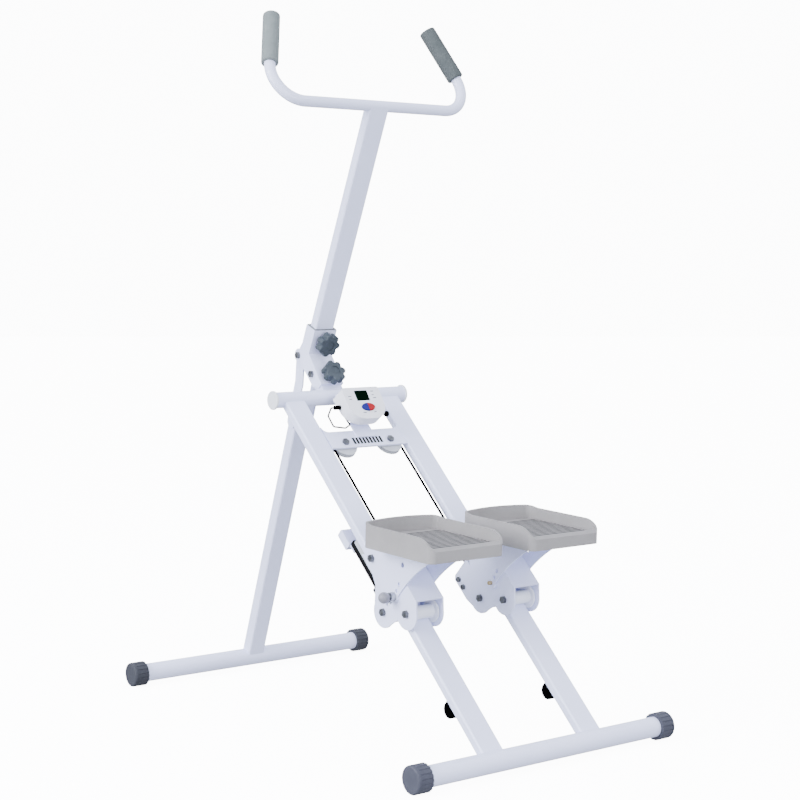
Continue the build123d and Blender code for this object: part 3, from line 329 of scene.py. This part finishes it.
for side, label in ((-1, "left"), (1, "right")):
    low_end = rail_spot(side * cable_across, clamp_t, cable_n)
    high_end = rail_spot(side * cable_across, pulley_t, cable_n)
    bpy.ops.mesh.primitive_cylinder_add(vertices=20, radius=cable_radius, depth=(high_end - low_end).length,
                                        location=(low_end + high_end) / 2)
    run = bpy.context.active_object
    run.rotation_euler = rail_up.to_track_quat("Z", "Y").to_euler()
    wake(run, f"{label}_cable_run", rubber)
    bpy.ops.object.shade_smooth_by_angle(angle=radians(50))
    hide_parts(f"{label}_cable")
    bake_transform(run)

# Slot shade of each pedal: one dark sheet of painted shade just under the tops of the ribs, so that
# the slots between them read as deep, shadowed pockets.
slot_shade_paint = finish("pedal_slot_painted_shade", (0.008, 0.008, 0.009), (0.02, 0.02, 0.022), 0.8, 0.1, 900, 0.2,
                       blotch=30, shine=0.0)
step_across = 0.117
tray_tilt = radians(1.8)
tray_back = Vector((0, -cos(tray_tilt), -sin(tray_tilt)))
tray_up = Vector((0, -sin(tray_tilt), cos(tray_tilt)))
tray_toe_y, tray_bottom_z = -0.211, 0.377
shade_sheet_width, shade_sheet_length = 0.151, 0.149
shade_sheet_height, shade_sheet_from_toe = 0.02144, 0.0965
for side, label in ((-1, "left"), (1, "right")):
    tray_toe = Vector((side * step_across, tray_toe_y, tray_bottom_z))
    bpy.ops.mesh.primitive_plane_add(size=1)
    shade_sheet = bpy.context.active_object
    shade_sheet.scale = (shade_sheet_width, shade_sheet_length, 1)
    shade_sheet.rotation_euler = (tray_tilt, 0, 0)
    shade_sheet.location = tray_toe + tray_up * shade_sheet_height + tray_back * shade_sheet_from_toe
    wake(shade_sheet, f"{label}_pedal_slot_painted_shade", slot_shade_paint)
    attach(shade_sheet, f"{label}_foot")


def joined(bars, name, material):
    """Join printed bars into one piece that stays with the frame."""
    bpy.ops.object.select_all(action="DESELECT")
    for bar in bars:
        bar.select_set(True)
    bpy.context.view_layer.objects.active = bars[0]
    bpy.ops.object.join()
    print_piece = wake(bpy.context.active_object, name, material)
    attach(print_piece, "frame")


# Console print: short plain bars beside the window and under the button, printed on the face. Each is
# given in millimetres from the face's middle, across and up, with its length and its turn in degrees.
ink = finish("console_ink", (0.1, 0.1, 0.13), (0.16, 0.16, 0.19), 0.6, 0.05, 900, 0.02, shine=0.2)
face_tilt = radians(54.9)
face_up = Vector((0, cos(face_tilt), sin(face_tilt)))
face_out = Vector((0, -sin(face_tilt), cos(face_tilt)))
face_middle = rail_spot(0, 0.800, 0.0595)
print_width = 0.0017
print_proud = 0.00015
print_plane = face_middle + face_out * print_proud
prints = []
for across, up, long, turn in ((-33, 16, 8, 0), (-33, 9.5, 6.5, 0), (25.5, 26, 7, 0), (24.5, 17.5, 5, 0),
                               (26.5, 10.5, 8, 0), (-11, -22.5, 8, -14), (15, -22, 6, 14)):
    bpy.ops.mesh.primitive_plane_add(size=1)
    bar = bpy.context.active_object
    bar.scale = (long / 1000, print_width, 1)
    on_face = Matrix.Rotation(face_tilt, 3, "X") @ Matrix.Rotation(radians(turn), 3, "Z")
    bar.rotation_euler = on_face.to_euler()
    bar.location = print_plane + Vector((across / 1000, 0, 0)) + face_up * (up / 1000)
    prints.append(bar)
joined(prints, "console_print", ink)

# Plain mark on the cross plate, between its bolts: a row of upright bars in black ink.
black_ink = finish("plate_ink", (0.006, 0.006, 0.008), (0.02, 0.02, 0.024), 0.6, 0.05, 900, 0.02,
                   shine=0.1)
mark_bars, mark_pitch = 9, 0.0082
mark_width, mark_height = 0.0055, 0.0165
mark_t, mark_n = 0.7445, 0.00915
marks = []
for step in range(mark_bars):
    bpy.ops.mesh.primitive_plane_add(size=1)
    bar = bpy.context.active_object
    bar.scale = (mark_width, mark_height, 1)
    bar.rotation_euler = (rail_tilt, 0, 0)
    bar.location = rail_spot((step - (mark_bars - 1) / 2) * mark_pitch, mark_t, mark_n)
    marks.append(bar)
joined(marks, "plate_mark", black_ink)

# Pin nose on the inner wing of each pedal bracket: a short brass-coloured stub with a round end.
brass = finish("brass_stub", (0.36, 0.27, 0.13), (0.5, 0.4, 0.22), 0.35, 0.15, 900, 0.1, metallic=1.0,
               blotch=90)
wing_from_step = 0.0379
pin_t, pin_n = 0.358, 0.019
stub_round = 0.0014
for side, label in ((-1, "left"), (1, "right")):
    bpy.ops.mesh.primitive_cylinder_add(vertices=32, radius=0.0039, depth=0.010)
    stub = bpy.context.active_object
    bpy.ops.object.modifier_add(type="BEVEL")
    stub.modifiers[-1].width = stub_round
    stub.modifiers[-1].segments = 3
    bpy.ops.object.modifier_apply(modifier=stub.modifiers[-1].name)
    stub.rotation_euler = (0, radians(90), 0)
    stub.location = rail_spot(side * (step_across - wing_from_step), pin_t, pin_n)
    wake(stub, f"{label}_pin_stub", brass)
    bpy.ops.object.shade_smooth_by_angle(angle=radians(40))
    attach(stub, f"{label}_foot")
